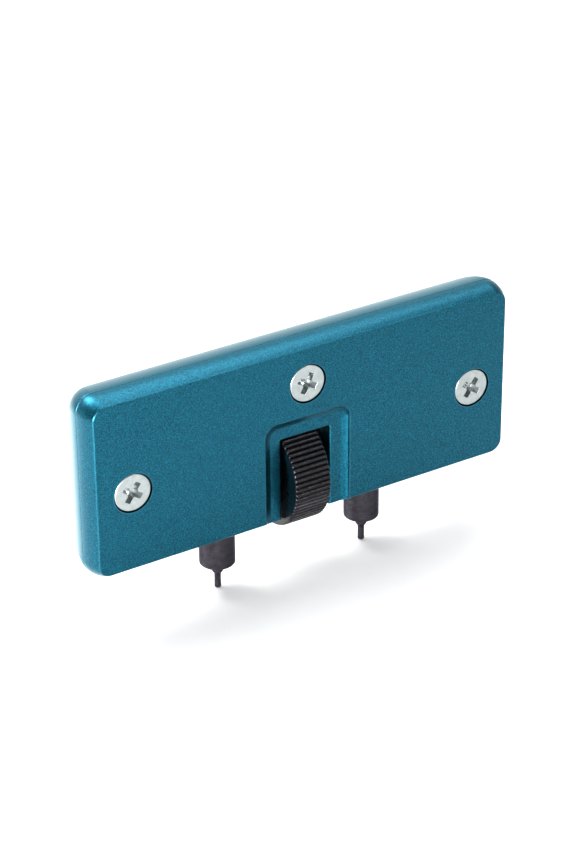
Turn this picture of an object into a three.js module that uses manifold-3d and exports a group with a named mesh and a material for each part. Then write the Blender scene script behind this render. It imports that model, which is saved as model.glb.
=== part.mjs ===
// Adjustable two-pin case back opener: a two-shell metal body holds a lead screw with opposite threads on
// its two halves. A ridged wheel in the middle turns the screw, and two nuts with round posts and steel
// pins move apart or together along it.
// Millimetres. The origin is level with the pin tips, below the lead screw and on the body's middle plane.
// +X runs along the lead screw, +Y to the rear and +Z from the pins up to the body.
import * as THREE from "three";
import { mergeVertices } from "three/addons/utils/BufferGeometryUtils.js";
import Module from "manifold-3d";

// Body: front cover and rear housing, measured at the seam where they are largest
const BODY_LENGTH = 72;
const BODY_HEIGHT = 29;
const BODY_DEPTH = 11;
const BODY_Z = 25.2; // height of the body's centre above the pin tips
const COVER_DEPTH = 3.25; // from the front face to the seam
const SEAM_GAP = 0.1;
const FLARE = 1.17; // how much further out the seam is than the front face's edge
const FLARE_BULGE = 0.12;
const EDGE_RADIUS = 0.37;
const FACE_CORNER = 1.64; // corner radius of the front face
const BACK_ROUND_DEPTH = 7.4; // the rear housing's rounded edge, along Y
const BACK_ROUND_INSET = 5.2; // and across
const BACK_ROUND_POWER = 1.7;

// Dished thumb recess round the wheel, open at the bottom, on both faces
const RECESS_HALF_WIDTH = 7.4;
const RECESS_TOP = BODY_Z + 2.7;
const RECESS_DEPTH = 0.8;
const RECESS_WALL = 1.4; // width of its sloping wall
const RECESS_CORNER = 2.2;

// Lead screw
const SPINDLE_Z = 17.14;
const SPINDLE_HALF = 33.1;
const JOURNAL_END_RADIUS = 1.5;
const THREAD_RADIUS = 2;
const THREAD_ROOT_RADIUS = 1.6;
const CORE_RADIUS = 2.1; // plain middle that carries the wheel
const CORE_HALF = 6.8;
const THREAD_START = 7.3;
const THREAD_END = 30.1;

// Adjusting wheel
const WHEEL_RADIUS = 8.45;
const WHEEL_LEFT = -3.95;
const WHEEL_RIGHT = 2.15;
const WHEEL_RIDGES = 66;
const RIDGE_DEPTH = 0.26;
const WHEEL_CHAMFER = 0.3;
const HUB_RADIUS = 4.2;
const HUB_END = 3.95;
const WHEEL_PIN_RADIUS = 0.5;
const WHEEL_SLOT_HALF = 4.22;
const WHEEL_SLOT_RADIUS = 8.75;

// Bearing bushes
const BUSH_RADIUS = 3;
const BUSH_SEAT_RADIUS = 3.1;
const INNER_BUSH = [4.35, 6.55];
const OUTER_BUSH = [30.7, 33.2];
const BUSH_SEAT_END = 33.4;

// Jaws: a nut in the channel, a round post below it and a pin in the post
const JAW_X = 12.8;
const JAW_SHIFT = 0.15; // both jaws sit a little to the right, where their threads happen to start
const NUT_HALF = [2.8, 3.05];
const NUT_Z = [13.15, 21.1];
const POST_RADIUS = 2.73;
const POST_BOTTOM = 4.4;
const POST_SPIGOT = { radius: 1.7, top: 14.6 };
const PIN_RADIUS = 0.51;
const PIN_FLARE = { radius: 0.88, from: 2.1, to: 2.95 };
const PIN_TIP_RADIUS = 0.36;
const PIN_TOP = 8.5;

// Channel that the jaws run in, with a slot through the bottom wall
const CHANNEL = { start: 6.7, end: 30.5, front: -3.35, back: 3.35, floor: 12.9, top: 21.4 };
const SLOT_HALF = 2.95;

// Countersunk cross-recess screws and locating dowels, as [x, z]
const SCREWS = {
  screw_left: { at: [-29.2, 24], turn: 0.58 },
  screw_top: { at: [0, 33.05], turn: 0.48 },
  screw_right: { at: [29.2, 24], turn: 0.62 },
};
const SCREW_HEAD_RADIUS = 2.88;
const SCREW_RADIUS = 1.4;
const SCREW_RIM = 0.15;
const SCREW_LENGTH = 9;
const CROSS = { span: 3.3, width: 0.8, depth: 1.25 };
const DOWELS = { dowel_left: [-17, 33.5], dowel_right: [17, 33.5] };
const DOWEL_RADIUS = 1;
const DOWEL_Y = [-4.1, 0.6];

const HOLE_GAP = 0.1; // radial gap round pieces that sit in holes
const OUTSIDE = 20; // a length well clear of the body, for cutting tools

const FRONT_Y = -BODY_DEPTH / 2;

const wasm = await Module();
wasm.setup();

// A closed geometry as a manifold-3d solid.
function toSolid(geometry) {
  const bare = geometry.clone();
  bare.deleteAttribute("normal");
  bare.deleteAttribute("uv");
  const merged = mergeVertices(bare, 1e-5);
  return new wasm.Manifold(
    new wasm.Mesh({
      numProp: 3,
      vertProperties: merged.attributes.position.array,
      triVerts: new Uint32Array(merged.index.array),
    }),
  );
}

function toGeometry(solid) {
  const mesh = solid.getMesh();
  return new THREE.BufferGeometry()
    .setAttribute("position", new THREE.BufferAttribute(mesh.vertProperties, 3))
    .setIndex(new THREE.BufferAttribute(mesh.triVerts, 1));
}

const cut = (geometry, tools) =>
  toGeometry(tools.reduce((solid, tool) => solid.subtract(toSolid(tool)), toSolid(geometry)));

const join = (a, b) => toGeometry(toSolid(a).add(toSolid(b)));

function box([x0, x1], [y0, y1], [z0, z1]) {
  return new THREE.BoxGeometry(x1 - x0, y1 - y0, z1 - z0).translate(
    (x0 + x1) / 2,
    (y0 + y1) / 2,
    (z0 + z1) / 2,
  );
}

// A profile of [radius, height] points, starting and ending on the axis, turned round X, Y or Z.
function turned(profile, axis, segments = 32) {
  const points = profile.map(([r, h]) => new THREE.Vector2(r, h));
  const geometry = new THREE.LatheGeometry(points, segments);
  if (axis === "x") geometry.rotateZ(-Math.PI / 2);
  if (axis === "z") geometry.rotateX(Math.PI / 2);
  return geometry;
}

const rod = (radius, from, to, axis, segments) =>
  turned([[0, from], [radius, from], [radius, to], [0, to]], axis, segments);

// One rounded rectangle in the plane y, as points in order round it.
function ring({ y, halfLength, bottom, top, corner }) {
  const steps = 6;
  const points = [];
  for (let side = 0; side < 4; side++) {
    const x = (halfLength - corner) * (side === 0 || side === 3 ? 1 : -1);
    const z = side < 2 ? top - corner : bottom + corner;
    for (let i = 0; i <= steps; i++) {
      const angle = ((side + i / steps) * Math.PI) / 2;
      points.push([x + corner * Math.cos(angle), y, z + corner * Math.sin(angle)]);
    }
  }
  return points;
}

// A solid skinned over rounded rectangles, listed from front to back.
function lofted(levels) {
  const rings = levels.map(ring);
  const count = rings[0].length;
  const centre = (points) => points[0].map((_, k) => points.reduce((s, p) => s + p[k], 0) / count);
  const vertices = [...rings.flat(), centre(rings[0]), centre(rings.at(-1))];
  const front = rings.length * count;
  const index = [];
  for (let i = 0; i < count; i++) {
    const next = (i + 1) % count;
    for (let level = 0; level < rings.length - 1; level++) {
      const a = level * count;
      const b = a + count;
      index.push(a + i, b + next, a + next, a + i, b + i, b + next);
    }
    const last = (rings.length - 1) * count;
    index.push(front, i, next, front + 1, last + next, last + i);
  }
  return new THREE.BufferGeometry()
    .setAttribute("position", new THREE.Float32BufferAttribute(vertices.flat(), 3))
    .setIndex(index);
}

// The body's outline at a depth behind the front face, spread outwards from the face's edge.
function outline(depth, spread, corner = FACE_CORNER + spread) {
  return {
    y: FRONT_Y + depth,
    halfLength: BODY_LENGTH / 2 - FLARE + spread,
    bottom: BODY_Z - BODY_HEIGHT / 2 + FLARE - spread,
    top: BODY_Z + BODY_HEIGHT / 2 - FLARE + spread,
    corner,
  };
}

function coverBlank() {
  const levels = [];
  for (const angle of [0, Math.PI / 4]) {
    levels.push(outline(EDGE_RADIUS * (1 - Math.cos(angle)), EDGE_RADIUS * Math.sin(angle)));
  }
  const end = COVER_DEPTH - SEAM_GAP / 2;
  for (const u of [0, 0.33, 0.67, 1]) {
    const bulge = FLARE_BULGE * 4 * u * (1 - u);
    const spread = EDGE_RADIUS + (FLARE - EDGE_RADIUS) * u + bulge;
    levels.push(outline(EDGE_RADIUS + (end - EDGE_RADIUS) * u, spread));
  }
  return lofted(levels);
}

function housingBlank() {
  const corner = FACE_CORNER + FLARE;
  const levels = [outline(COVER_DEPTH + SEAM_GAP / 2, FLARE)];
  const steps = 9;
  for (let i = 0; i <= steps; i++) {
    const angle = ((i / steps) * Math.PI) / 2;
    const along = Math.sin(angle) ** (2 / BACK_ROUND_POWER);
    const inset = BACK_ROUND_INSET * (1 - Math.cos(angle) ** (2 / BACK_ROUND_POWER));
    const depth = BODY_DEPTH - BACK_ROUND_DEPTH * (1 - along);
    levels.push(outline(depth, FLARE - inset, corner));
  }
  return lofted(levels);
}

// The thumb recess as a cutting tool, on the front face (side -1) or the rear face (side 1).
function recessTool(side) {
  const slope = [[-2, 0], [0, 0], [0.15, 0.3], [0.65, 1.1], [RECESS_DEPTH, RECESS_WALL]];
  const levels = slope.map(([depth, inset]) => ({
    y: side * (BODY_DEPTH / 2 - depth),
    halfLength: RECESS_HALF_WIDTH - inset,
    bottom: -OUTSIDE,
    top: RECESS_TOP - inset,
    corner: RECESS_CORNER - inset * 0.4,
  }));
  return lofted(side < 0 ? levels : levels.reverse());
}

// The slot for the wheel: a round pocket about the lead screw that is open all the way down.
function wheelSlotTools() {
  const wide = [-WHEEL_SLOT_HALF, WHEEL_SLOT_HALF];
  return [
    rod(WHEEL_SLOT_RADIUS, ...wide, "x", 96).translate(0, 0, SPINDLE_Z),
    box(wide, [-OUTSIDE, OUTSIDE], [-OUTSIDE, SPINDLE_Z]),
  ];
}

const sides = [-1, 1];
const spanX = (side, a, b) => (side < 0 ? [-b, -a] : [a, b]);

function frontCover() {
  const pockets = sides.map((side) =>
    box(spanX(side, CHANNEL.start, CHANNEL.end), [CHANNEL.front, 0], [-OUTSIDE, CHANNEL.top]),
  );
  const seat = rod(BUSH_SEAT_RADIUS, -BUSH_SEAT_END, BUSH_SEAT_END, "x").translate(0, 0, SPINDLE_Z);
  const screwHoles = Object.values(SCREWS).map(({ at: [x, z] }) => {
    const wide = SCREW_HEAD_RADIUS + 2 * HOLE_GAP;
    const narrow = SCREW_RADIUS + 3 * HOLE_GAP;
    const profile = [
      [0, -1],
      [wide, -1],
      [wide, SCREW_RIM + HOLE_GAP],
      [narrow, SCREW_RIM + HOLE_GAP + wide - narrow],
      [narrow, COVER_DEPTH + 1],
      [0, COVER_DEPTH + 1],
    ];
    return turned(profile, "y", 40).translate(x, FRONT_Y, z);
  });
  const dowelHoles = Object.values(DOWELS).map(([x, z]) =>
    rod(DOWEL_RADIUS + HOLE_GAP, DOWEL_Y[0] - HOLE_GAP, 0, "y", 24).translate(x, 0, z),
  );
  const holes = [...screwHoles, ...dowelHoles];
  return cut(coverBlank(), [recessTool(-1), ...wheelSlotTools(), ...pockets, seat, ...holes]);
}

function rearHousing() {
  const channels = sides.flatMap((side) => {
    const along = spanX(side, CHANNEL.start, CHANNEL.end);
    return [
      box(along, [-OUTSIDE, CHANNEL.back], [CHANNEL.floor, CHANNEL.top]),
      box(along, [-OUTSIDE, SLOT_HALF], [-OUTSIDE, CHANNEL.floor + 1]),
    ];
  });
  const seats = [
    rod(BUSH_SEAT_RADIUS, -BUSH_SEAT_END, BUSH_SEAT_END, "x").translate(0, 0, SPINDLE_Z),
    box(
      [-BUSH_SEAT_END, BUSH_SEAT_END],
      [-OUTSIDE, 0],
      [SPINDLE_Z - BUSH_SEAT_RADIUS, SPINDLE_Z + BUSH_SEAT_RADIUS],
    ),
  ];
  const screwHoles = Object.values(SCREWS).map(({ at: [x, z] }) =>
    rod(SCREW_RADIUS + HOLE_GAP, -OUTSIDE, FRONT_Y + SCREW_LENGTH + 2 * HOLE_GAP, "y", 24).translate(x, 0, z),
  );
  const dowelHoles = Object.values(DOWELS).map(([x, z]) =>
    rod(DOWEL_RADIUS + HOLE_GAP, -OUTSIDE, DOWEL_Y[1] + HOLE_GAP, "y", 24).translate(x, 0, z),
  );
  const holes = [...screwHoles, ...dowelHoles];
  return cut(housingBlank(), [recessTool(1), ...wheelSlotTools(), ...channels, ...seats, ...holes]);
}

function screw(turn) {
  const headDepth = SCREW_RIM + SCREW_HEAD_RADIUS - SCREW_RADIUS; // its cone slopes at 45 degrees
  const profile = [
    [0, 0],
    [SCREW_HEAD_RADIUS, 0],
    [SCREW_HEAD_RADIUS, SCREW_RIM],
    [SCREW_RADIUS, headDepth],
    [SCREW_RADIUS, SCREW_LENGTH - 0.4],
    [SCREW_RADIUS - 0.4, SCREW_LENGTH],
    [0, SCREW_LENGTH],
  ];
  const half = CROSS.span / 2;
  const thin = CROSS.width / 2;
  const deep = [-1, CROSS.depth];
  const slots = [box([-half, half], deep, [-thin, thin]), box([-thin, thin], deep, [-half, half])];
  return cut(turned(profile, "y", 40), slots).rotateY(turn);
}

const dowel = () =>
  turned(
    [
      [0, DOWEL_Y[0]],
      [DOWEL_RADIUS - 0.2, DOWEL_Y[0]],
      [DOWEL_RADIUS, DOWEL_Y[0] + 0.2],
      [DOWEL_RADIUS, DOWEL_Y[1] - 0.2],
      [DOWEL_RADIUS - 0.2, DOWEL_Y[1]],
      [0, DOWEL_Y[1]],
    ],
    "y",
    24,
  );

// The lead screw is the same both ways from its middle. The thread is a plain rod of its outer diameter.
function leadScrew() {
  const half = [
    [CORE_RADIUS, CORE_HALF],
    [THREAD_ROOT_RADIUS, CORE_HALF],
    [THREAD_ROOT_RADIUS, THREAD_START - 0.3],
    [THREAD_RADIUS, THREAD_START],
    [THREAD_RADIUS, THREAD_END - 0.3],
    [THREAD_ROOT_RADIUS, THREAD_END],
    [JOURNAL_END_RADIUS, THREAD_END],
    [JOURNAL_END_RADIUS, SPINDLE_HALF - 0.2],
    [JOURNAL_END_RADIUS - 0.2, SPINDLE_HALF],
    [0, SPINDLE_HALF],
  ];
  const mirrored = half.map(([r, x]) => [r, -x]).reverse();
  const rodWithEnds = turned([...mirrored, ...half], "x", 24);
  return cut(rodWithEnds, [wheelPinHole()]);
}

const WHEEL_PIN_X = (WHEEL_RIGHT + HUB_END) / 2;
const crossRod = (radius, half) => rod(radius, -half, half, "z", 16).translate(WHEEL_PIN_X, 0, 0);
const wheelPinHole = () => crossRod(WHEEL_PIN_RADIUS + HOLE_GAP, HUB_RADIUS + 1);
const wheelPin = () => crossRod(WHEEL_PIN_RADIUS, HUB_RADIUS - HOLE_GAP);

// Ridges along the rim, each with a narrower crest than root, and a hub on the right for the cross pin.
function adjustingWheel() {
  const pitch = (2 * Math.PI) / WHEEL_RIDGES;
  const crest = WHEEL_RADIUS;
  const root = WHEEL_RADIUS - RIDGE_DEPTH;
  const tooth = [[0, crest], [0.42, crest], [0.6, root], [0.82, root]];
  const rimPoints = [];
  for (let i = 0; i < WHEEL_RIDGES; i++) {
    for (const [share, radius] of tooth) {
      const angle = (i + share) * pitch;
      rimPoints.push(new THREE.Vector2(radius * Math.cos(angle), radius * Math.sin(angle)));
    }
  }
  const shape = new THREE.Shape(rimPoints);
  const disc = new THREE.ExtrudeGeometry(shape, { depth: WHEEL_RIGHT - WHEEL_LEFT, bevelEnabled: false });
  disc.translate(0, 0, WHEEL_LEFT).rotateY(Math.PI / 2);
  const rim = WHEEL_RADIUS + 0.01;
  const edges = turned(
    [
      [0, WHEEL_LEFT],
      [rim - WHEEL_CHAMFER, WHEEL_LEFT],
      [rim, WHEEL_LEFT + WHEEL_CHAMFER],
      [rim, WHEEL_RIGHT - WHEEL_CHAMFER],
      [rim - WHEEL_CHAMFER, WHEEL_RIGHT],
      [0, WHEEL_RIGHT],
    ],
    "x",
    WHEEL_RIDGES,
  );
  const blank = toGeometry(toSolid(disc).intersect(toSolid(edges)));
  const hub = rod(HUB_RADIUS, WHEEL_RIGHT - 1, HUB_END, "x", 40);
  const bore = rod(CORE_RADIUS + HOLE_GAP, -OUTSIDE, OUTSIDE, "x", 24);
  return cut(join(blank, hub), [bore, wheelPinHole()]);
}

function bush([from, to], bore) {
  const profile = [[bore, from], [BUSH_RADIUS, from], [BUSH_RADIUS, to], [bore, to], [bore, from]];
  return turned(profile, "x", 32);
}

function jawNut() {
  const [halfX, halfY] = NUT_HALF;
  const block = box([-halfX, halfX], [-halfY, halfY], NUT_Z);
  const thread = rod(THREAD_RADIUS + 2 * HOLE_GAP, -OUTSIDE, OUTSIDE, "x", 24).translate(0, 0, SPINDLE_Z);
  const spigotHole = rod(POST_SPIGOT.radius + HOLE_GAP, 0, POST_SPIGOT.top + HOLE_GAP, "z", 24);
  return cut(block, [thread, spigotHole]);
}

function jawPost() {
  const shoulder = NUT_Z[0] - HOLE_GAP;
  const profile = [
    [0, POST_BOTTOM],
    [POST_RADIUS - 0.25, POST_BOTTOM],
    [POST_RADIUS, POST_BOTTOM + 0.25],
    [POST_RADIUS, shoulder],
    [POST_SPIGOT.radius, shoulder],
    [POST_SPIGOT.radius, POST_SPIGOT.top],
    [0, POST_SPIGOT.top],
  ];
  return cut(turned(profile, "z", 48), [rod(PIN_RADIUS + HOLE_GAP, 0, PIN_TOP + HOLE_GAP, "z", 24)]);
}

// A straight pin whose foot flares out into a collar under the post, and whose shank is pressed into it.
function jawPin() {
  const flare = [];
  for (const share of [0, 0.25, 0.5, 0.75, 1]) {
    const radius = PIN_RADIUS + (PIN_FLARE.radius - PIN_RADIUS) * share ** 2;
    flare.push([radius, PIN_FLARE.from + (PIN_FLARE.to - PIN_FLARE.from) * share]);
  }
  const collarTop = POST_BOTTOM - HOLE_GAP;
  const profile = [
    [0, 0],
    [PIN_TIP_RADIUS, 0],
    [PIN_RADIUS, 0.2],
    ...flare,
    [PIN_FLARE.radius, collarTop],
    [PIN_RADIUS, collarTop],
    [PIN_RADIUS, PIN_TOP],
    [0, PIN_TOP],
  ];
  return turned(profile, "z", 24);
}

const paint = new THREE.MeshStandardMaterial({ color: 0x1e6985, roughness: 0.42, metalness: 0.55 });
const zinc = new THREE.MeshStandardMaterial({ color: 0xcdd4d2, roughness: 0.25, metalness: 1 });
const blackSteel = new THREE.MeshStandardMaterial({ color: 0x26262b, roughness: 0.35, metalness: 0.9 });
const wheelBlack = new THREE.MeshStandardMaterial({ color: 0x1b1b1d, roughness: 0.5, metalness: 0.6 });
const steel = new THREE.MeshStandardMaterial({ color: 0x9a9da0, roughness: 0.35, metalness: 1 });
const brass = new THREE.MeshStandardMaterial({ color: 0xb8924a, roughness: 0.35, metalness: 1 });

const opener = new THREE.Group();

function add(parent, name, geometry, material) {
  const mesh = new THREE.Mesh(geometry, material);
  mesh.name = name;
  parent.add(mesh);
  return mesh;
}

add(opener, "front_cover", frontCover(), paint);
add(opener, "rear_housing", rearHousing(), paint);
for (const [name, { at: [x, z], turn }] of Object.entries(SCREWS)) {
  add(opener, name, screw(turn), zinc).position.set(x, FRONT_Y, z);
}
for (const [name, [x, z]] of Object.entries(DOWELS)) {
  add(opener, name, dowel(), steel).position.set(x, 0, z);
}

const spindle = new THREE.Group();
spindle.position.z = SPINDLE_Z;
opener.add(spindle);
add(spindle, "lead_screw", leadScrew(), steel);
add(spindle, "adjusting_wheel", adjustingWheel(), wheelBlack);
add(spindle, "wheel_pin", wheelPin(), steel);
for (const [side, word] of [[-1, "left"], [1, "right"]]) {
  add(spindle, `bush_inner_${word}`, bush(spanX(side, ...INNER_BUSH), CORE_RADIUS + HOLE_GAP), brass);
  add(spindle, `bush_outer_${word}`, bush(spanX(side, ...OUTER_BUSH), JOURNAL_END_RADIUS + HOLE_GAP), brass);
  const jaw = new THREE.Group();
  jaw.position.x = side * JAW_X + JAW_SHIFT;
  opener.add(jaw);
  add(jaw, `jaw_nut_${word}`, jawNut(), brass);
  add(jaw, `jaw_post_${word}`, jawPost(), blackSteel);
  add(jaw, `jaw_pin_${word}`, jawPin(), blackSteel);
}

export default opener;
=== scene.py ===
"""Looks of an adjustable case back opener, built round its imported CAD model.

Pieces are modelled in millimetres in the CAD frame and scaled to metres when they are placed: +X runs
along the lead screw, +Y to the rear and +Z from the pin tips up to the body.
"""

import math

import bpy
from mathutils import Matrix, Vector


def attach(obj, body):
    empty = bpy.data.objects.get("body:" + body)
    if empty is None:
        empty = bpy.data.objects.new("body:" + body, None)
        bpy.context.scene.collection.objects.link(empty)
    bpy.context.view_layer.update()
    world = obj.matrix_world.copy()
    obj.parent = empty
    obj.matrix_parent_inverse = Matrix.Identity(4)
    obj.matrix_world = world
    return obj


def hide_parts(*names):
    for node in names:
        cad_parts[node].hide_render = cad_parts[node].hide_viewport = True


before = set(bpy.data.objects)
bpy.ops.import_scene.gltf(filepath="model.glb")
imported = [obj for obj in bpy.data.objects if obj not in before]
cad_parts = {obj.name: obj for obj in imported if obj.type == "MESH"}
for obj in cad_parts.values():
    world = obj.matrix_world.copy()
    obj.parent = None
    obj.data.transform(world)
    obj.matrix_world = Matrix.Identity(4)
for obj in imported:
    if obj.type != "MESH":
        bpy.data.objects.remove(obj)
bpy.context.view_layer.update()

MM = 0.001

# Sizes are in millimetres unless a comment says otherwise. EDGE is the radius or bevel of an edge.
BODY_LENGTH, BODY_HEIGHT, BODY_DEPTH, BODY_Z = 72, 29, 11, 25.2
FRONT_Y = -BODY_DEPTH / 2
SEAM_Y = FRONT_Y + 3.25
SEAM_GAP, SEAM_EDGE, SEAM_STEPS = 0.1, 0.09, 4
SIDE_SPREAD, SIDE_POWER, SIDE_STEPS = 1.17, 1.9, 12  # how the front shell's sides spread to the seam
FACE_EDGE, FACE_EDGE_STEPS = 0.37, 6
FACE_CORNER, CORNER_STEPS = 1.64, 14
BACK_DEPTH, BACK_INSET, BACK_POWER, BACK_STEPS = 7.4, 5.2, 1.7, 26  # the rear shell's large round
COVER_EDGE, HOUSING_EDGE = 0.13, 0.1
SHARP_DEGREES = 38  # edges sharper than this are rounded
SHARP_SHADING, ROUND_SHARP = 40, 50  # from how many degrees edges stay sharp in the shading

RECESS_HALF, RECESS_TOP, RECESS_CORNER = 7.4, BODY_Z + 2.7, 2.2
CORNER_SHRINK = 0.4  # how much of the recess's inset its corners lose
RECESS_DEPTH, RECESS_WALL = 0.8, 1.4
RECESS_PROFILE = [  # (depth, inset) down the wall: a tight edge, a steep part and a broad hollow foot
    (-2, -0.02), (0, 0), (0.012, 0.07), (0.045, 0.13), (0.1, 0.18), (0.18, 0.225), (0.28, 0.28),
    (0.37, 0.36), (0.45, 0.47), (0.53, 0.61), (0.6, 0.76), (0.67, 0.93), (0.73, 1.1), (0.775, 1.25),
    (RECESS_DEPTH, RECESS_WALL),
]

SPINDLE_Z = 17.14
SPINDLE_HALF, JOURNAL_RADIUS, JOURNAL_EDGE = 33.1, 1.5, 0.2
THREAD_RADIUS, ROOT_RADIUS, PITCH = 1.97, 1.6, 1.0
THREAD_START, THREAD_END, THREAD_RUN_OUT = 7.3, 30.1, 0.5
THREAD_CREST, THREAD_FLANK = 0.2, 0.6  # shares of half the pitch
RINGS_PER_MM, SCREW_SEGMENTS = 10, 40
SHOULDER = 0.005  # a step's length, so that two rings don't share a plane
CORE_RADIUS, CORE_HALF, CORE_EDGE = 2.1, 6.8, 0.1

WHEEL_RADIUS, WHEEL_LEFT, WHEEL_RIGHT = 8.45, -3.95, 2.15
WHEEL_RIDGES, RIDGE_DEPTH, RIDGE_POWER, RIDGE_STEPS = 66, 0.26, 2.4, 10
WHEEL_RIM = [(0.38, 0), (0.24, 0.03), (0.14, 0.1), (0.03, 0.2), (0, 0.3)]  # (cut, inset) at the rims
HUB_RADIUS, HUB_END, HUB_EDGE = 4.2, 3.95, 0.25
DISH_OUTER, DISH_FLOOR, DISH_INNER, DISH_DEPTH = 6.9, 6.6, 3.6, 0.25
WHEEL_PIN_X, WHEEL_PIN_RADIUS = (WHEEL_RIGHT + HUB_END) / 2, 0.5
WHEEL_PIN_END, WHEEL_PIN_EDGE, WHEEL_PIN_HOLE = 0.36, 0.12, 6
SLOT_HALF, SLOT_RADIUS, SLOT_EDGE, SLOT_EDGE_STEPS, SLOT_CORNER = 4.22, 8.75, 0.3, 6, 0.02

BUSH_RADIUS, BUSH_EDGE, BUSH_SEAT, BUSH_SEAT_END = 3, 0.15, 3.1, 33.4
INNER_BUSH, OUTER_BUSH = (4.35, 6.55), (30.7, 33.2)

JAWS = {"left": -12.65, "right": 12.95}
NUT_HALF_X, NUT_HALF_Y, NUT_Z, NUT_BORE, NUT_EDGE = 2.8, 3.05, (13.15, 21.1), 2.2, 0.2
POST_RADIUS, POST_BOTTOM, POST_EDGE = 2.73, 4.4, 0.25
SPIGOT_RADIUS, SPIGOT_TOP = 1.7, 14.6
PIN_RADIUS, PIN_TOP, PIN_HOLE_EDGE = 0.51, 8.5, 0.12
PIN_TIP = [(0.26, 0), (0.36, 0.02), (0.44, 0.07), (PIN_RADIUS, 0.2)]  # (radius, height)
COLLAR_RADIUS, COLLAR_FROM, COLLAR_TO, COLLAR_STEPS, COLLAR_GAP = 0.88, 2.1, 2.95, 12, 0.01
CHANNEL_X, CHANNEL_Y, CHANNEL_Z = (6.7, 30.5), 3.35, (12.9, 21.4)
JAW_SLOT_HALF = 2.95

# Each screw's x, z and the turn of its cross in radians
SCREWS = {"screw_left": (-29.2, 24, 0.58), "screw_top": (0, 33.05, 0.48), "screw_right": (29.2, 24, 0.62)}
SCREW_HEAD, SCREW_SHANK, SCREW_RIM, SCREW_LENGTH, SCREW_TIP = 2.88, 1.4, 0.15, 9, 0.4
SCREW_SUNK, SCREW_EDGE = 0.12, 0.05
HEAD_EDGE = [(0.16, 0.0), (0.06, 0.02), (0, 0.08)]  # (inset, depth) round the rim of a head
CROSS_HALF, CROSS_WIDTH, CROSS_DEPTH = 1.7, 0.95, 1.25
CROSS_TAPER = [(-0.5, 1.3, 1.2), (0, 1, 1), (0.55, 0.8, 0.86), (1, 0.5, 0.7)]  # depth, half, width
CROSS_POINT = [(1.0, -0.5), (0.86, 0), (0.5, 1.0), (0.05, 1.6)]  # (radius, depth)
SINK_RADIUS, SINK_RIM, SINK_SHANK, SINK_DEPTH = SCREW_HEAD + 0.22, 0.6, SCREW_SHANK + 0.3, 5
SCREW_HOLE_SPARE = 0.2
DOWELS_X, DOWEL_Z, DOWEL_HOLE, DOWEL_HOLE_Y = 17, 33.5, 1.1, (-4.2, 0.7)
HOLE_GAP = 0.1
OVERLAP = 1  # how far a cutting or joining tool runs into what it meets
FAR = 20  # well clear of the body, for cutting tools

# Numbers of sides on round pieces
COARSE, PIN_SIDES, MEDIUM, FINE, FINEST = 32, 48, 64, 96, 160


# --- meshes ---------------------------------------------------------------------------------------------


def new_object(name, vertices, faces):
    """A mesh object in millimetres."""
    mesh = bpy.data.meshes.new(name)
    mesh.from_pydata(vertices, [], faces)
    mesh.validate()
    piece = bpy.data.objects.new(name, mesh)
    bpy.context.scene.collection.objects.link(piece)
    return piece


def skin(name, rings):
    """A solid skinned over closed rings of points, with flat ends. Each ring runs the same way round."""
    count = len(rings[0])
    faces = []
    for level in range(len(rings) - 1):
        a, b = level * count, (level + 1) * count
        for i in range(count):
            j = (i + 1) % count
            faces.append((a + i, b + i, b + j, a + j))
    last = (len(rings) - 1) * count
    faces.append(tuple(range(count)))
    faces.append(tuple(range(last + count - 1, last - 1, -1)))
    return new_object(name, [p for ring in rings for p in ring], faces)


def on_axis(axis, radius, angle, along):
    """A point at a radius and angle round the axis X, Y or Z."""
    c, s = radius * math.cos(angle), radius * math.sin(angle)
    return {"x": (along, -c, s), "y": (c, along, s), "z": (c, -s, along)}[axis]


def turned(name, profile, axis, segments=MEDIUM):
    """A profile of (radius, along) points, in order along the axis, turned round it."""
    rings = []
    for radius, along in profile:
        angles = (2 * math.pi * i / segments for i in range(segments))
        rings.append([on_axis(axis, radius, a, along) for a in angles])
    return skin(name, rings)


def rod(radius, start, end, axis, segments=MEDIUM):
    """A plain round bar along an axis, for cutting with."""
    return turned("tool", [(radius, start), (radius, end)], axis, segments)


def block(xs, ys, zs):
    """A plain box, for cutting with."""
    low = [(xs[i], ys[j], zs[0]) for i, j in ((0, 0), (0, 1), (1, 1), (1, 0))]
    return skin("tool", [low, [(x, y, zs[1]) for x, y, _ in low]])


def moved(piece, x=0, y=0, z=0, turn_y=0):
    """The piece, turned round Y by an angle in radians and then moved."""
    piece.data.transform(Matrix.Translation((x, y, z)) @ Matrix.Rotation(turn_y, 4, "Y"))
    return piece


def apply_modifiers(piece):
    """Gives the piece the mesh that its modifiers make."""
    graph = bpy.context.evaluated_depsgraph_get()
    made = bpy.data.meshes.new_from_object(piece.evaluated_get(graph))
    piece.modifiers.clear()
    piece.data = made
    return piece


def combine(piece, tools, operation="DIFFERENCE"):
    """Cuts the tools from the piece, or joins them to it."""
    for tool in tools:
        modifier = piece.modifiers.new("combine", "BOOLEAN")
        modifier.operation, modifier.solver, modifier.object = operation, "EXACT", tool
    apply_modifiers(piece)
    for tool in tools:
        bpy.data.objects.remove(tool)
    return piece


def round_edges(piece, radius, segments=3):
    """Rounds every sharp edge of the piece."""
    bevel = piece.modifiers.new("round", "BEVEL")
    bevel.width, bevel.segments = radius, segments
    bevel.limit_method, bevel.angle_limit = "ANGLE", math.radians(SHARP_DEGREES)
    return apply_modifiers(piece)


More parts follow.
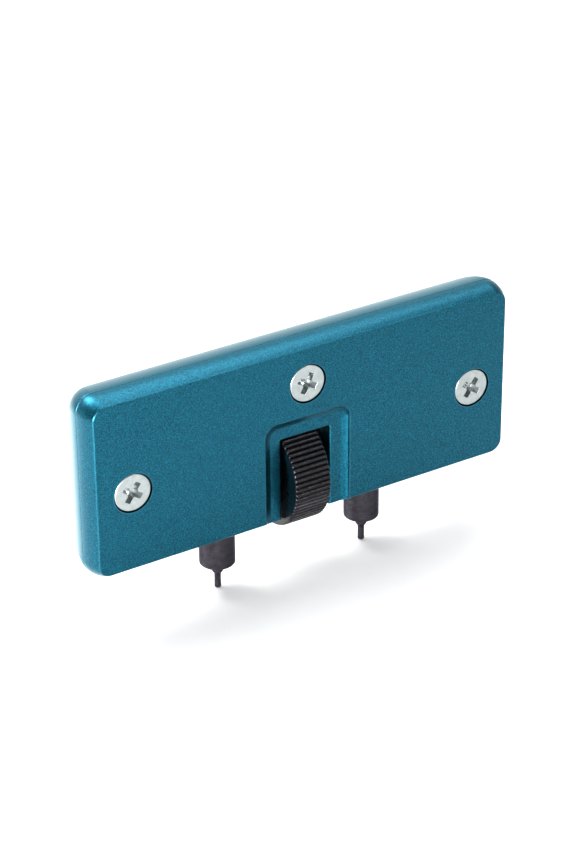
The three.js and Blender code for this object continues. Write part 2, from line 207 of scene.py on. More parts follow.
def place(piece, body, material, replaces, slot, sharp=SHARP_SHADING):
    """Scales a piece to metres, smooths its shading and lets it ride on a CAD body.

    sharp is the angle in degrees from which an edge stays sharp in the shading.
    """
    piece.data.shade_smooth()
    piece.data.set_sharp_from_angle(angle=math.radians(sharp))
    weights = piece.modifiers.new("weights", "WEIGHTED_NORMAL")
    weights.keep_sharp, weights.weight = True, 100
    apply_modifiers(piece)
    piece.data.transform(Matrix.Scale(MM, 4))
    piece.data.materials.clear()
    piece.data.materials.append(material)
    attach(piece, body)
    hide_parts(*replaces)
    return piece


# --- body -----------------------------------------------------------------------------------------------


def rounded_ring(y, half_length, bottom, top, corner):
    """One rounded rectangle in the plane y."""
    points = []
    for side in range(4):
        x = (half_length - corner) * (1 if side in (0, 3) else -1)
        z = top - corner if side < 2 else bottom + corner
        for i in range(CORNER_STEPS + 1):
            angle = (side + i / CORNER_STEPS) * math.pi / 2
            points.append((x + corner * math.cos(angle), y, z + corner * math.sin(angle)))
    return points


def body_ring(depth, spread, corner=None):
    """The body's outline at a depth behind the front face, spread outwards from the face's edge."""
    half_height = BODY_HEIGHT / 2 - SIDE_SPREAD + spread
    return rounded_ring(
        FRONT_Y + depth,
        BODY_LENGTH / 2 - SIDE_SPREAD + spread,
        BODY_Z - half_height,
        BODY_Z + half_height,
        FACE_CORNER + spread if corner is None else corner,
    )


def cover_blank():
    """The front shell: a rounded edge at the face, then sides that spread gently to the seam."""
    rings = []
    for i in range(FACE_EDGE_STEPS + 1):
        angle = i / FACE_EDGE_STEPS * math.pi / 4
        rings.append(body_ring(FACE_EDGE * (1 - math.cos(angle)), FACE_EDGE * math.sin(angle)))
    start, first = FACE_EDGE * (1 - math.cos(math.pi / 4)), FACE_EDGE * math.sin(math.pi / 4)
    end = SEAM_Y - FRONT_Y - SEAM_GAP / 2 - SEAM_EDGE
    for i in range(1, SIDE_STEPS + 1):
        share = i / SIDE_STEPS
        spread = first + (SIDE_SPREAD - first) * (1 - (1 - share) ** SIDE_POWER)
        rings.append(body_ring(start + (end - start) * share, spread))
    rings += seam_edge(end, 1)
    return skin("front_shell", rings)


def seam_edge(depth, way):
    """The small round edge where a shell meets the seam, from its side inwards.

    way is 1 where the edge turns to the rear and -1 where it turns to the front.
    """
    rings = []
    for i in range(1, SEAM_STEPS + 1):
        angle = i / SEAM_STEPS * math.pi / 2
        inset = SEAM_EDGE * (1 - math.cos(angle))
        rings.append(body_ring(depth + way * SEAM_EDGE * math.sin(angle), SIDE_SPREAD - inset))
    return rings


def housing_blank():
    """The rear shell: straight at the seam, then one large soft round to its flat back."""
    start = SEAM_Y - FRONT_Y + SEAM_GAP / 2 + SEAM_EDGE
    rings = list(reversed(seam_edge(start, -1)))
    for i in range(BACK_STEPS + 1):
        angle = i / BACK_STEPS * math.pi / 2
        along = math.sin(angle) ** (2 / BACK_POWER)
        inset = BACK_INSET * (1 - math.cos(angle) ** (2 / BACK_POWER))
        depth = BODY_DEPTH - BACK_DEPTH * (1 - along)
        rings.append(body_ring(max(depth, start), SIDE_SPREAD - inset, FACE_CORNER + SIDE_SPREAD))
    return skin("rear_shell", rings)


def recess_tool(side):
    """The thumb recess, as a cutting tool for the front face (side -1) or the rear face (side 1)."""
    rings = []
    for depth, inset in RECESS_PROFILE:
        y = side * (BODY_DEPTH / 2 - depth)
        corner = RECESS_CORNER - inset * CORNER_SHRINK
        rings.append(rounded_ring(y, RECESS_HALF - inset, -FAR, RECESS_TOP - inset, corner))
    return skin("tool", rings if side < 0 else rings[::-1])


def wheel_slot_tools():
    """Cutting tools for the wheel's slot: round above the lead screw and open below it."""
    wide = (-SLOT_HALF, SLOT_HALF)
    cylinder = moved(rod(SLOT_RADIUS, *wide, "x", FINEST), z=SPINDLE_Z)
    return [cylinder, block(wide, (-FAR, FAR), (-FAR, SPINDLE_Z))]


def slot_mouth():
    """A cutting tool that rounds over the wheel slot's edges on the front recess's floor."""
    top = SPINDLE_Z + math.sqrt(SLOT_RADIUS**2 - (FRONT_Y + RECESS_DEPTH) ** 2)
    rings = [rounded_ring(FRONT_Y, SLOT_HALF + SLOT_EDGE, -FAR, top + SLOT_EDGE, SLOT_EDGE)]
    for i in range(SLOT_EDGE_STEPS + 1):
        angle = i / SLOT_EDGE_STEPS * math.pi / 2
        spread = SLOT_EDGE * (1 - math.sin(angle))
        depth = RECESS_DEPTH + SLOT_EDGE * (1 - math.cos(angle))
        corner = SLOT_CORNER + spread
        rings.append(rounded_ring(FRONT_Y + depth, SLOT_HALF + spread, -FAR, top + spread, corner))
    return skin("tool", rings)


def both_sides(a, b):
    """The span from a to b, and its mirror image."""
    return [(-b, -a), (a, b)]


def front_shell():
    """The front cover, with its recess, the wheel's slot, the screw holes and the cuts in its back."""
    pockets = [block(x, (-CHANNEL_Y, 0), (-FAR, CHANNEL_Z[1])) for x in both_sides(*CHANNEL_X)]
    seat = moved(rod(BUSH_SEAT, -BUSH_SEAT_END, BUSH_SEAT_END, "x"), z=SPINDLE_Z)
    cone_end = SINK_RIM + SINK_RADIUS - SINK_SHANK
    sink = [(SINK_RADIUS, -OVERLAP), (SINK_RADIUS, SINK_RIM)]
    sink += [(SINK_SHANK, cone_end), (SINK_SHANK, SINK_DEPTH)]
    holes = [moved(turned("tool", sink, "y", FINE), x, FRONT_Y, z) for x, z, _ in SCREWS.values()]
    for x in (-DOWELS_X, DOWELS_X):
        holes.append(moved(rod(DOWEL_HOLE, DOWEL_HOLE_Y[0], 0, "y"), x, 0, DOWEL_Z))
    openings = [recess_tool(-1), *wheel_slot_tools(), slot_mouth()]
    shell = combine(cover_blank(), [*openings, *pockets, seat, *holes])
    return round_edges(shell, COVER_EDGE)


def rear_shell():
    """The rear housing, with its recess, the wheel's slot, the nuts' channels, bush seats and holes."""
    tools = [recess_tool(1), *wheel_slot_tools()]
    for x in both_sides(*CHANNEL_X):
        tools.append(block(x, (-FAR, CHANNEL_Y), CHANNEL_Z))
        tools.append(block(x, (-FAR, JAW_SLOT_HALF), (-FAR, CHANNEL_Z[0] + OVERLAP)))
    seat_x = (-BUSH_SEAT_END, BUSH_SEAT_END)
    tools.append(moved(rod(BUSH_SEAT, *seat_x, "x"), z=SPINDLE_Z))
    tools.append(block(seat_x, (-FAR, 0), (SPINDLE_Z - BUSH_SEAT, SPINDLE_Z + BUSH_SEAT)))
    hole_end = FRONT_Y + SCREW_LENGTH + SCREW_HOLE_SPARE
    for x, z, _ in SCREWS.values():
        tools.append(moved(rod(SCREW_SHANK + HOLE_GAP, -FAR, hole_end, "y"), x, 0, z))
    for x in (-DOWELS_X, DOWELS_X):
        tools.append(moved(rod(DOWEL_HOLE, -FAR, DOWEL_HOLE_Y[1], "y"), x, 0, DOWEL_Z))
    return round_edges(combine(housing_blank(), tools), HOUSING_EDGE)


# --- screws ---------------------------------------------------------------------------------------------


def cross_tool(turn):
    """A cross recess whose wings narrow and shorten with depth, down to a small point."""
    tools = []
    for quarter in (0, math.pi / 2):
        rings = []
        for depth, half, width in CROSS_TAPER:
            a, b = half * CROSS_HALF, width * CROSS_WIDTH / 2
            y = depth * CROSS_DEPTH
            rings.append([(a, y, -b), (a, y, b), (-a, y, b), (-a, y, -b)])
        tools.append(moved(skin("tool", rings), turn_y=turn + quarter))
    tools.append(turned("tool", CROSS_POINT, "y", SCREW_SEGMENTS))
    return tools


def make_screw(name):
    """A countersunk screw with a plain shank, sunk a little below the face."""
    x, z, turn = SCREWS[name]
    profile = [(SCREW_HEAD - inset, depth) for inset, depth in HEAD_EDGE]
    profile += [(SCREW_HEAD, SCREW_RIM), (SCREW_SHANK, SCREW_RIM + SCREW_HEAD - SCREW_SHANK)]
    profile += [(SCREW_SHANK, SCREW_LENGTH / 3), (SCREW_SHANK, SCREW_LENGTH - SCREW_TIP)]
    profile.append((SCREW_SHANK - SCREW_TIP, SCREW_LENGTH))
    screw = combine(turned(name + "_detail", profile, "y", FINE), cross_tool(turn))
    round_edges(screw, SCREW_EDGE, 2)
    return moved(screw, x, FRONT_Y + SCREW_SUNK, z)


# --- wheel and lead screw -------------------------------------------------------------------------------


def ridge(share):
    """How high a ridge stands, 0 to 1, at a share of its pitch: a round crest between narrow grooves."""
    return 1 - abs(share * 2 - 1) ** RIDGE_POWER


def wheel_ring(x, limit):
    """The wheel's ridged outline at x, cut off at a radius."""
    points = []
    for i in range(WHEEL_RIDGES * RIDGE_STEPS):
        radius = WHEEL_RADIUS - RIDGE_DEPTH * (1 - ridge((i % RIDGE_STEPS) / RIDGE_STEPS))
        angle = 2 * math.pi * i / (WHEEL_RIDGES * RIDGE_STEPS)
        points.append(on_axis("x", min(radius, limit), angle, x))
    return points


def wheel_pin_hole():
    """A cutting tool for the cross pin's hole, with the lead screw's axis at z = 0."""
    hole = rod(WHEEL_PIN_RADIUS + HOLE_GAP, -WHEEL_PIN_HOLE, WHEEL_PIN_HOLE, "z", COARSE)
    return moved(hole, WHEEL_PIN_X)


def make_wheel():
    """The ridged wheel, with rounded rims, a hub on its right and a shallow ring in its left face."""
    rings = [wheel_ring(WHEEL_LEFT + inset, WHEEL_RADIUS - cut) for cut, inset in WHEEL_RIM]
    rings += [wheel_ring(WHEEL_RIGHT - inset, WHEEL_RADIUS - cut) for cut, inset in reversed(WHEEL_RIM)]
    wheel = skin("ridged_wheel", rings)
    hub = [(HUB_RADIUS, WHEEL_RIGHT - OVERLAP), (HUB_RADIUS, HUB_END - HUB_EDGE)]
    hub.append((HUB_RADIUS - HUB_EDGE, HUB_END))
    combine(wheel, [turned("tool", hub, "x", FINE)], "UNION")
    dish = [(DISH_OUTER, WHEEL_LEFT - OVERLAP), (DISH_OUTER, WHEEL_LEFT)]
    dish.append((DISH_FLOOR, WHEEL_LEFT + DISH_DEPTH))
    centre = rod(DISH_INNER, WHEEL_LEFT - 2 * OVERLAP, WHEEL_LEFT + OVERLAP, "x", FINE)
    dish_tool = combine(turned("tool", dish, "x", FINE), [centre])
    combine(wheel, [dish_tool, rod(CORE_RADIUS + HOLE_GAP, -FAR, FAR, "x"), wheel_pin_hole()])
    return moved(wheel, z=SPINDLE_Z)


def thread_radius(x, angle, hand):
    """The lead screw's radius at a place on its thread."""
    phase = (x / PITCH - hand * angle / (2 * math.pi)) % 1
    slope = min(max((abs(phase - 0.5) * 2 - THREAD_CREST) / THREAD_FLANK, 0), 1)
    end = min(x - THREAD_START, THREAD_END - x) if x > 0 else min(x + THREAD_END, -THREAD_START - x)
    ease = min(max(end / THREAD_RUN_OUT, 0), 1)
    return ROOT_RADIUS + (THREAD_RADIUS - ROOT_RADIUS) * (1 - slope) * ease


def screw_ring(x, radius_at):
    """One ring of the lead screw at x, whose radius is radius_at(angle)."""
    angles = [2 * math.pi * k / SCREW_SEGMENTS for k in range(SCREW_SEGMENTS)]
    return [on_axis("x", radius_at(a), a, x) for a in angles]


def threaded_rings(start, end, hand):
    """Rings along one threaded half. hand is 1 for a left-hand thread and -1 for a right-hand one."""
    steps = round((end - start) * RINGS_PER_MM)
    places = [start + (end - start) * i / steps for i in range(steps + 1)]
    return [screw_ring(x, lambda angle, x=x: thread_radius(x, angle, hand)) for x in places]


def plain_rings(profile):
    """Round rings of the lead screw from (radius, x) points."""
    return [screw_ring(x, lambda angle, radius=radius: radius) for radius, x in profile]


def make_lead_screw():
    """Opposite threads on the two halves, a plain middle that carries the wheel, and two journals."""
    journal = [(JOURNAL_RADIUS - JOURNAL_EDGE, SPINDLE_HALF), (JOURNAL_RADIUS, SPINDLE_HALF - JOURNAL_EDGE)]
    journal += [(JOURNAL_RADIUS, THREAD_END + 2 * SHOULDER), (ROOT_RADIUS, THREAD_END + SHOULDER)]
    middle = [(ROOT_RADIUS, -CORE_HALF), (CORE_RADIUS - CORE_EDGE, -CORE_HALF)]
    middle.append((CORE_RADIUS, -CORE_HALF + CORE_EDGE))
    rings = plain_rings([(r, -x) for r, x in journal])
    rings += threaded_rings(-THREAD_END, -THREAD_START, 1)
    rings += plain_rings(middle) + plain_rings([(r, -x) for r, x in reversed(middle)])
    rings += threaded_rings(THREAD_START, THREAD_END, -1)
    rings += plain_rings(list(reversed(journal)))
    screw = combine(skin("lead_screw_detail", rings), [wheel_pin_hole()])
    return moved(screw, z=SPINDLE_Z)


def make_wheel_pin():
    """The cross pin that locks the wheel to the lead screw."""
    end, edge = HUB_RADIUS - HOLE_GAP, WHEEL_PIN_EDGE
    profile = [(WHEEL_PIN_END, -end), (WHEEL_PIN_RADIUS, -end + edge)]
    profile += [(WHEEL_PIN_RADIUS, end - edge), (WHEEL_PIN_END, end)]
    return moved(turned("wheel_pin_detail", profile, "z", COARSE), WHEEL_PIN_X, 0, SPINDLE_Z)


def make_bush(name, ends, bore):
    """A plain round bush between two places along the lead screw."""
    start, end = ends
    profile = [(BUSH_RADIUS - BUSH_EDGE, start), (BUSH_RADIUS, start + BUSH_EDGE)]
    profile += [(BUSH_RADIUS, end - BUSH_EDGE), (BUSH_RADIUS - BUSH_EDGE, end)]
    bush = combine(turned(name + "_detail", profile, "x"), [rod(bore, -2 * FAR, 2 * FAR, "x")])
    return moved(bush, z=SPINDLE_Z)


# --- jaws -----------------------------------------------------------------------------------------------


def make_nut(word):
    """A block with a plain bore for the lead screw and a socket for the post's spigot."""
    nut = block((-NUT_HALF_X, NUT_HALF_X), (-NUT_HALF_Y, NUT_HALF_Y), NUT_Z)
    nut.name = f"jaw_nut_{word}_detail"
    bore = moved(rod(NUT_BORE, -FAR, FAR, "x"), z=SPINDLE_Z)
    combine(nut, [bore, rod(SPIGOT_RADIUS + HOLE_GAP, 0, SPIGOT_TOP + HOLE_GAP, "z")])
    return moved(round_edges(nut, NUT_EDGE), JAWS[word])


def make_post(word):
    """A round post with a rounded lower edge, a small countersink round the pin and a spigot on top."""
    shoulder, hole = NUT_Z[0] - HOLE_GAP, PIN_RADIUS + HOLE_GAP
    profile = [(hole, POST_BOTTOM + PIN_HOLE_EDGE), (hole + PIN_HOLE_EDGE, POST_BOTTOM)]
    for angle in (0, 0.4, 0.8, 1.2, math.pi / 2):
        radius = POST_RADIUS - POST_EDGE * (1 - math.sin(angle))
        profile.append((radius, POST_BOTTOM + POST_EDGE * (1 - math.cos(angle))))
    profile += [(POST_RADIUS, shoulder), (SPIGOT_RADIUS, shoulder), (SPIGOT_RADIUS, SPIGOT_TOP)]
    return moved(turned(f"jaw_post_{word}_detail", profile, "z", FINE), JAWS[word])


def make_pin(word):
    """A straight pin with a rounded tip, whose foot flares out in a smooth hollow curve under the post."""
    profile = list(PIN_TIP)
    for i in range(COLLAR_STEPS + 1):
        share = i / COLLAR_STEPS
        radius = PIN_RADIUS + (COLLAR_RADIUS - PIN_RADIUS) * share**2
        profile.append((radius, COLLAR_FROM + (COLLAR_TO - COLLAR_FROM) * share))
    profile += [(COLLAR_RADIUS, POST_BOTTOM - 2 * COLLAR_GAP), (PIN_RADIUS, POST_BOTTOM - COLLAR_GAP)]
    profile.append((PIN_RADIUS, PIN_TOP))
    return moved(turned(f"jaw_pin_{word}_detail", profile, "z", PIN_SIDES), JAWS[word])


# --- materials ------------------------------------------------------------------------------------------


def linear(red, green, blue):
    """A colour given as it looks on a screen, 0 to 255, as the renderer takes it."""

    def one(value):
        share = value / 255
        return share / 12.92 if share <= 0.04045 else ((share + 0.055) / 1.055) ** 2.4

    return (one(red), one(green), one(blue), 1)


NOISE_SPAN = (0.3, 0.7)  # where most of a noise's values lie
EDGE_SPAN = (0.9, 0.995)  # how far rounded and true normals agree, on edges and on flats
BEVEL_SAMPLES = 4
METAL = {"Metallic": 1.0}

# Sizes of patterns and relief in millimetres
FLAKE, MOTTLE, PAINT_CLOUD, PAINT_GRAIN, PAINT_RELIEF = 0.16, 0.21, 9, 0.3, 0.02
ZINC_CLOUD, ZINC_HAZE, ZINC_GRAIN, ZINC_RELIEF = 0.9, 0.35, 0.3, 0.004
LATHE_MARK, OXIDE_CLOUD, OXIDE_RELIEF = 0.12, 1.2, 0.003
# The first size here is that of the patches where the wheel's ridges and rims are paler, partly wear and
# partly a painted highlight.
WHEEL_WEAR_AND_HIGHLIGHT, WHEEL_CLOUD, WHEEL_HAZE, WHEEL_GRAIN, WHEEL_RELIEF = 0.5, 0.8, 0.5, 0.3, 0.0008
TOOL_MARK, BARE_CLOUD, BARE_RELIEF = 0.1, 1.1, 0.005
FLOOR_CLOUD = 3
# On the paint and on the wheel's ridges and rims, the paler edges are partly wear and partly painted
# highlights.
PAINT_WEAR_AND_HIGHLIGHT_RIM, WHEEL_WEAR_AND_HIGHLIGHT_RIM, METAL_RIM = 0.3, 0.07, 0.12  # widths of paler edges


class Surface:
    """A procedural material under construction: a Principled shader and the nodes that feed it."""

    def __init__(self, name, constants):
        self.material = bpy.data.materials.new(name)
        self.material.use_nodes = True
        self.tree = self.material.node_tree
        self.shader = self.tree.nodes["Principled BSDF"]
        for socket, value in constants.items():
            self.shader.inputs[socket].default_value = value
        self.place = self.node("ShaderNodeTexCoord").outputs["Object"]

    def node(self, kind, **settings):
        made = self.tree.nodes.new(kind)
        for name, value in settings.items():
            setattr(made, name, value)
        return made

    def link(self, source, target):
        self.tree.links.new(source, target)

    def stretched(self, x, y, z):
        """The place on the object, scaled along each axis, so that a pattern runs long one way."""
        mapping = self.node("ShaderNodeMapping")
        mapping.inputs["Scale"].default_value = (x, y, z)
        self.link(self.place, mapping.inputs["Vector"])
        return mapping.outputs["Vector"]

    def noise(self, size_mm, detail=2.0, place=None):
        """Soft noise, 0 to 1, whose blobs are about size_mm across."""
        made = self.node("ShaderNodeTexNoise")
        made.inputs["Scale"].default_value = 1 / (size_mm * MM)
        made.inputs["Detail"].default_value = detail
        self.link(place or self.place, made.inputs["Vector"])
        return made.outputs["Fac"]

    def cells(self, size_mm):
        """A random number for each small cell, about size_mm across."""
        made = self.node("ShaderNodeTexVoronoi")
        made.inputs["Scale"].default_value = 1 / (size_mm * MM)
        self.link(self.place, made.inputs["Vector"])
        split = self.node("ShaderNodeSeparateColor")
        self.link(made.outputs["Color"], split.inputs["Color"])
        return split.outputs["Red"]

    def mapped(self, value, to=(0, 1), span=NOISE_SPAN):
        """value, mapped from a span of numbers to another and held there."""
        made = self.node("ShaderNodeMapRange")
        for name, number in zip(("From Min", "From Max", "To Min", "To Max"), (*span, *to)):
            made.inputs[name].default_value = number
        self.link(value, made.inputs["Value"])
        return made.outputs["Result"]

    def math(self, operation, a, b):
        """A sum or other operation on two values, each a number or a socket."""
        made = self.node("ShaderNodeMath", operation=operation)
        for socket, value in zip(made.inputs, (a, b)):
            if isinstance(value, (int, float)):
                socket.default_value = value
            else:
                self.link(value, socket)
        return made.outputs["Value"]

    def blend(self, share, first, second):
        """A colour between first and second, each a colour or a socket."""
        made = self.node("ShaderNodeMix", data_type="RGBA")
        self.link(share, made.inputs["Factor"])
        for socket, value in ((made.inputs["A"], first), (made.inputs["B"], second)):
            target = next(s for s in made.inputs if s.name == socket.name and s.type == "RGBA")
            if isinstance(value, tuple):
                target.default_value = value
            else:
                self.link(value, target)
        return next(s for s in made.outputs if s.type == "RGBA")

    def edges(self, radius_mm):
        """1 on edges and corners and 0 on flat and gently curved parts."""
        bevel = self.node("ShaderNodeBevel", samples=BEVEL_SAMPLES)
        bevel.inputs["Radius"].default_value = radius_mm * MM
        geometry = self.node("ShaderNodeNewGeometry")
        dot = self.node("ShaderNodeVectorMath", operation="DOT_PRODUCT")
        self.link(bevel.outputs["Normal"], dot.inputs[0])
        self.link(geometry.outputs["Normal"], dot.inputs[1])
        return self.mapped(dot.outputs["Value"], (1, 0), EDGE_SPAN)

    def colour(self, socket):
        self.link(socket, self.shader.inputs["Base Color"])

    def roughness(self, socket):
        self.link(socket, self.shader.inputs["Roughness"])

    def bump(self, height, depth_mm):
        """Relief from a height of 0 to 1, which stands for depth_mm."""
        made = self.node("ShaderNodeBump")
        made.inputs["Strength"].default_value = 1
        made.inputs["Distance"].default_value = depth_mm * MM
        self.link(height, made.inputs["Height"])
        self.link(made.outputs["Normal"], self.shader.inputs["Normal"])


def paint():
    """Metallic blue paint: a mottled tone, broad clouds, bright flakes, a grainy skin and paler edges,
    partly wear and partly a painted highlight.
    """
    coat = {"Coat Weight": 1.0, "Coat Roughness": 0.3, "Coat IOR": 1.18}
    s = Surface("blue_metallic_paint", METAL | coat | {"Specular Tint": (0.66, 0.95, 1, 1)})
    flakes, mottle, cloud = s.cells(FLAKE), s.noise(MOTTLE), s.noise(PAINT_CLOUD, 1)
    tone = s.blend(s.mapped(mottle, span=(0.36, 0.64)), linear(0, 49, 66), linear(0, 86, 107))
    tone = s.blend(s.mapped(cloud, (0, 0.3), (0.35, 0.65)), tone, linear(0, 72, 90))
    tone = s.blend(s.mapped(flakes, (0, 0.5), (0.86, 1)), tone, linear(24, 108, 131))
    # Paler edges, partly wear and partly a painted highlight along every edge of the paint.
    tone = s.blend(s.math("MULTIPLY", s.edges(PAINT_WEAR_AND_HIGHLIGHT_RIM), 0.3), tone, linear(80, 145, 168))
    s.colour(tone)
    s.roughness(s.mapped(mottle, (0.3, 0.38)))
    s.bump(s.math("ADD", s.noise(PAINT_GRAIN), s.math("MULTIPLY", flakes, 0.25)), PAINT_RELIEF)
    return s.material


def zinc():
    """Bright zinc plate: pale grey, softly clouded and hazed, with paler edges."""
    s = Surface("zinc_plate", METAL)
    tone = s.blend(s.mapped(s.noise(ZINC_CLOUD, 3)), linear(148, 155, 155), linear(163, 170, 170))
    s.colour(s.blend(s.math("MULTIPLY", s.edges(METAL_RIM), 0.3), tone, linear(225, 228, 228)))
    s.roughness(s.mapped(s.noise(ZINC_HAZE, 3), (0.28, 0.42)))
    s.bump(s.noise(ZINC_GRAIN), ZINC_RELIEF)
    return s.material


def black_steel():
    """Black oxide on turned steel: fine rings from the lathe, a faint purple tone and worn edges."""
    s = Surface("black_oxide_steel", METAL | {"Specular Tint": (0.45, 0.45, 0.47, 1)})
    rings = s.noise(LATHE_MARK, 2, s.stretched(0.06, 0.06, 1))
    tone = s.blend(s.mapped(s.noise(OXIDE_CLOUD, 3)), linear(55, 53, 58), linear(70, 67, 74))
    s.colour(s.blend(s.math("MULTIPLY", s.edges(METAL_RIM), 0.5), tone, linear(120, 118, 120)))
    s.roughness(s.mapped(rings, (0.2, 0.3)))
    s.bump(rings, OXIDE_RELIEF)
    return s.material


def wheel_black():
    """Black oxide on the wheel, unevenly paler along the ridges and rims: partly rubbed wear, partly a
    painted highlight.
    """
    s = Surface("wheel_black_oxide", METAL)
    # Paler ridges and rims in uneven patches, partly rubbed wear and partly a painted highlight.
    wear_and_highlight = s.math("MULTIPLY", s.edges(WHEEL_WEAR_AND_HIGHLIGHT_RIM), s.mapped(s.noise(WHEEL_WEAR_AND_HIGHLIGHT, 3), (0.1, 0.5)))
    tone = s.blend(s.mapped(s.noise(WHEEL_CLOUD)), linear(34, 34, 37), linear(45, 45, 48))
    s.colour(s.blend(wear_and_highlight, tone, linear(110, 108, 108)))
    s.roughness(s.mapped(s.noise(WHEEL_HAZE), (0.27, 0.33)))
    s.bump(s.noise(WHEEL_GRAIN, 1), WHEEL_RELIEF)
    return s.material


def bright_metal(name, dark, light):
    """A bare machined metal, with its tool marks drawn out along X."""
    s = Surface(name, METAL)
    marks = s.noise(TOOL_MARK, 3, s.stretched(0.06, 1, 1))
    tone = s.blend(s.mapped(s.noise(BARE_CLOUD, 3)), dark, light)
    s.colour(s.blend(s.math("MULTIPLY", s.edges(METAL_RIM), 0.4), tone, linear(235, 230, 222)))
    s.roughness(s.mapped(marks, (0.24, 0.4)))
    s.bump(marks, BARE_RELIEF)
    return s.material


# --- scene ----------------------------------------------------------------------------------------------


# The camera, solved from the body's edges in the picture: degrees, metres, and millimetres of lens
CAMERA_AZIMUTH, CAMERA_ELEVATION, CAMERA_ROLL = -31.819, 28.862, -0.523
CAMERA_DISTANCE, CAMERA_ACROSS, CAMERA_UPWARDS = 0.39051, 0.002953, 0.0000757
CAMERA_LENS, CAMERA_SENSOR = 111.73, 36
CAMERA_NEAR, CAMERA_FAR = 0.01, 20

# Each lamp's place and size in metres, power in watts, target in metres and beam in degrees
BODY_CENTRE, WIDE_BEAM = (0, 0, BODY_Z * MM), 180
LAMPS = {
    "top": ((0.1, 0.15, 0.6), (0.5, 0.4), 3.3, BODY_CENTRE, WIDE_BEAM),
    "back_left": ((-0.12, 0.13, 0.22), (0.15, 0.12), 0.21, (-0.1, 0.03, 0), 60),
    "low_front": ((-0.2, -0.28, 0.014), (0.16, 0.022), 3.4, BODY_CENTRE, WIDE_BEAM),
    "high_right": ((0.25, -0.42, 0.28), (0.1, 0.08), 0.6, BODY_CENTRE, WIDE_BEAM),
}
BRIGHT_WAY = (-0.15, 0.9, 0.3)  # where the world is brightest: behind the body, a little to its left
WORLD_RAMP = {"From Min": 0.2, "From Max": 0.8, "To Min": 0.62, "To Max": 1.6}
FLOOR_RADIUS, FLOOR_THICK, FLOOR_SIDES = 2000, 5, 96


def add_camera():
    """A long lens at the height and side that the picture is taken from."""
    azimuth, elevation = math.radians(CAMERA_AZIMUTH), math.radians(CAMERA_ELEVATION)
    roll = math.radians(CAMERA_ROLL)
    level = math.cos(elevation)
    back = Vector((math.sin(azimuth) * level, -math.cos(azimuth) * level, math.sin(elevation)))
    flat_right = Vector((math.cos(azimuth), math.sin(azimuth), 0))
    right = flat_right * math.cos(roll) + back.cross(flat_right) * math.sin(roll)
    up = back.cross(right)
    camera = bpy.data.objects.new("camera", bpy.data.cameras.new("camera"))
    camera.data.lens, camera.data.sensor_width = CAMERA_LENS, CAMERA_SENSOR
    camera.data.clip_start, camera.data.clip_end = CAMERA_NEAR, CAMERA_FAR
    place = Vector((0, FRONT_Y, BODY_Z)) * MM + back * CAMERA_DISTANCE
    place -= right * CAMERA_ACROSS + up * CAMERA_UPWARDS
    turn = Matrix((right, up, back)).transposed().to_4x4()
    camera.matrix_world = Matrix.Translation(place) @ turn
    bpy.context.scene.collection.objects.link(camera)
    bpy.context.scene.camera = camera


def add_lamp(name, place, size, power, target, beam):
    """A rectangular soft lamp that faces its target and that the camera doesn't see."""
    light = bpy.data.lights.new(name, "AREA")
    light.shape, light.size, light.size_y = "RECTANGLE", *size
    light.energy, light.spread = power, math.radians(beam)
    lamp = bpy.data.objects.new(name, light)
    lamp.location = place
    lamp.rotation_euler = (Vector(target) - lamp.location).to_track_quat("-Z", "Y").to_euler()
    lamp.visible_camera = False
    bpy.context.scene.collection.objects.link(lamp)


def add_floor():
    """A wide, pale, matt disc at the height of the pin tips."""
    rings = []
    for z in (-FLOOR_THICK, 0):
        angles = (2 * math.pi * i / FLOOR_SIDES for i in range(FLOOR_SIDES))
        rings.append([(FLOOR_RADIUS * math.cos(a), FLOOR_RADIUS * math.sin(a), z) for a in angles])
    floor = skin("floor", rings)
    floor.data.transform(Matrix.Scale(MM, 4))
    s = Surface("pale_floor", {"Metallic": 0.0, "Specular IOR Level": 0.2, "Roughness": 0.8})
    s.colour(s.blend(s.noise(FLOOR_CLOUD, 3), linear(242, 242, 242), linear(246, 246, 246)))
    floor.data.materials.append(s.material)


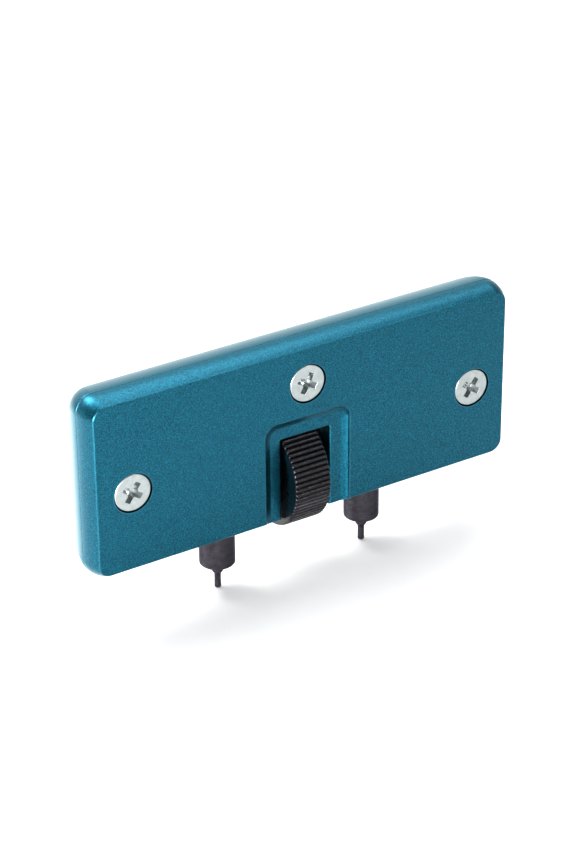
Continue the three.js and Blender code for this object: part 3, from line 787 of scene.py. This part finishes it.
def add_world():
    """Soft white light all round that is brighter behind the body than on the camera's side."""
    world = bpy.data.worlds.new("studio")
    world.use_nodes = True
    nodes, links = world.node_tree.nodes, world.node_tree.links
    way = nodes.new("ShaderNodeVectorMath")
    way.operation = "DOT_PRODUCT"
    way.inputs[1].default_value = Vector(BRIGHT_WAY).normalized()
    links.new(nodes.new("ShaderNodeTexCoord").outputs["Generated"], way.inputs[0])
    ramp = nodes.new("ShaderNodeMapRange")
    ramp.interpolation_type = "SMOOTHSTEP"
    for name, number in WORLD_RAMP.items():
        ramp.inputs[name].default_value = number
    links.new(way.outputs["Value"], ramp.inputs["Value"])
    links.new(ramp.outputs["Result"], nodes["Background"].inputs["Strength"])
    nodes["Background"].inputs["Color"].default_value = (1, 1, 1, 1)
    bpy.context.scene.world = world


def add_studio():
    """The world, the lamps and the floor, shown without a film look."""
    add_world()
    bpy.context.scene.view_settings.view_transform = "Standard"
    for name, settings in LAMPS.items():
        add_lamp(name, *settings)
    add_floor()


def build():
    """Every detailed piece on its CAD body, and a material for the two hidden dowels."""
    blue, plate, black, wheel = paint(), zinc(), black_steel(), wheel_black()
    steel = bright_metal("bare_steel", linear(150, 152, 156), linear(176, 178, 180))
    brass = bright_metal("brass", linear(178, 140, 72), linear(204, 166, 92))
    place(front_shell(), "housing", blue, ["front_cover"], "body_paint")
    place(rear_shell(), "housing", blue, ["rear_housing"], "body_paint")
    for name in SCREWS:
        place(make_screw(name), "housing", plate, [name], "zinc_plate")
    place(make_lead_screw(), "spindle", steel, ["lead_screw"], "bright_steel", ROUND_SHARP)
    place(make_wheel(), "spindle", wheel, ["adjusting_wheel"], "wheel_black", ROUND_SHARP)
    place(make_wheel_pin(), "spindle", steel, ["wheel_pin"], "bright_steel")
    for word, way in (("left", -1), ("right", 1)):
        for kind, ends, bore in (("inner", INNER_BUSH, CORE_RADIUS), ("outer", OUTER_BUSH, JOURNAL_RADIUS)):
            name = f"bush_{kind}_{word}"
            ends = sorted(way * x for x in ends)
            place(make_bush(name, ends, bore + HOLE_GAP), "housing", brass, [name], "brass")
        body = word + "_jaw"
        place(make_nut(word), body, brass, ["jaw_nut_" + word], "brass")
        place(make_post(word), body, black, ["jaw_post_" + word], "black_steel")
        place(make_pin(word), body, black, ["jaw_pin_" + word], "black_steel")
        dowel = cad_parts["dowel_" + word]
        dowel.data.materials.clear()
        dowel.data.materials.append(steel)


add_camera()
add_studio()
build()
